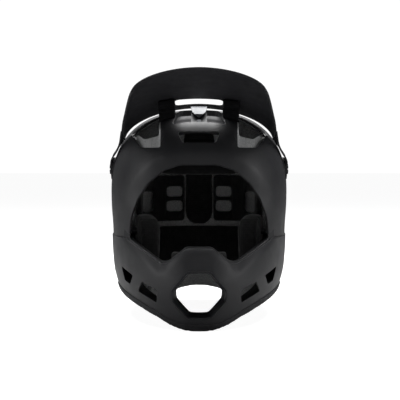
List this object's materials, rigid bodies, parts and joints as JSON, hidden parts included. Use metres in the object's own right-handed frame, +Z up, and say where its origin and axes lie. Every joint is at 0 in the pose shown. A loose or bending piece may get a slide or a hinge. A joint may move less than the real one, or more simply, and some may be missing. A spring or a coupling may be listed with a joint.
{
  "type": "full face bike helmet",
  "caption": "Full face downhill bike helmet with vented chin bar, tilting peak on hand screws, padded interior and a strap with a ring buckle.",
  "frame": {"origin": "centre of the whole helmet's box at the surface it stands on", "axes": "+Z up, -Y forwards where the wearer looks, +X towards the wearer's left"},
  "size_m": [0.241, 0.3212, 0.3146],
  "materials": {
    "shell_paint": "matt black moulded shell with a fine grain",
    "peak_plastic": "matt black moulded peak",
    "liner_foam": "black moulded bead foam",
    "trim_rubber": "soft black edging",
    "vent_frame_plastic": "matt black bevelled frame",
    "pad_fabric": "black brushed knit over foam",
    "strap_webbing": "black woven webbing",
    "ring_steel": "plated steel ring",
    "rivet_steel": "steel rivet",
    "snap_plastic": "black snap studs",
    "clip_plastic": "silver grey moulded clip",
    "block_plastic": "black moulded block",
    "screw_metal": "black anodised hand screw",
    "washer_plastic": "black slip washer",
    "nut_steel": "steel hexagon nut"
  },
  "bodies": {
    "helmet": {"crown_shell": "shell_paint", "chin_bar_shell": "shell_paint", "crown_liner_front": "liner_foam", "crown_liner_rear": "liner_foam", "crown_liner_left": "liner_foam", "crown_liner_right": "liner_foam", "chin_liner": "liner_foam", "chin_vent_frame": "vent_frame_plastic", "eyeport_trim": "trim_rubber", "base_trim": "trim_rubber", "crown_pad": "pad_fabric", "side_pad_left": "pad_fabric", "side_pad_right": "pad_fabric", "nape_pad": "pad_fabric", "brow_pad": "pad_fabric", "chin_pad": "pad_fabric", "cheek_pad_left": "pad_fabric", "cheek_pad_right": "pad_fabric", "cheek_pad_snaps": "snap_plastic", "strap_left": "strap_webbing", "strap_right": "strap_webbing", "strap_rivets": "rivet_steel", "strap_snap": "snap_plastic", "visor_index_block": "block_plastic", "pivot_washers": "washer_plastic", "pivot_nuts": "nut_steel"},
    "peak": {"visor": "peak_plastic", "visor_bumpers": "trim_rubber", "visor_clip": "clip_plastic"},
    "left_hand_screw": {"pivot_screw_left": "screw_metal"},
    "right_hand_screw": {"pivot_screw_right": "screw_metal"},
    "block_screw": {"index_screw": "screw_metal"},
    "inner_buckle_ring": {"d_ring_inner": "ring_steel"},
    "outer_buckle_ring": {"d_ring_outer": "ring_steel"}
  },
  "joints": [
    {"name": "peak_tilt", "type": "hinge", "parent": "helmet", "child": "peak", "pos_m": [0, 0.01437, 0.1951], "axis": [-1, 0, 0], "range_deg": [0, 15]},
    {"name": "left_hand_screw_turn", "type": "hinge", "parent": "helmet", "child": "left_hand_screw", "pos_m": [0.118, 0.01437, 0.1951], "axis": [1, 0, 0], "continuous": true},
    {"name": "right_hand_screw_turn", "type": "hinge", "parent": "helmet", "child": "right_hand_screw", "pos_m": [-0.118, 0.01437, 0.1951], "axis": [-1, 0, 0], "continuous": true},
    {"name": "block_screw_turn", "type": "hinge", "parent": "helmet", "child": "block_screw", "pos_m": [0, -0.04224, 0.25688], "axis": [0, -0.6756, 0.7373], "continuous": true},
    {"name": "inner_ring_swing", "type": "hinge", "parent": "helmet", "child": "inner_buckle_ring", "pos_m": [-0.0674, 0.04137, 0.052], "axis": [0, -1, 0], "range_deg": [0, 60]},
    {"name": "outer_ring_swing", "type": "hinge", "parent": "helmet", "child": "outer_buckle_ring", "pos_m": [-0.0704, 0.04137, 0.052], "axis": [0, 1, 0], "range_deg": [0, 4]}
  ]
}
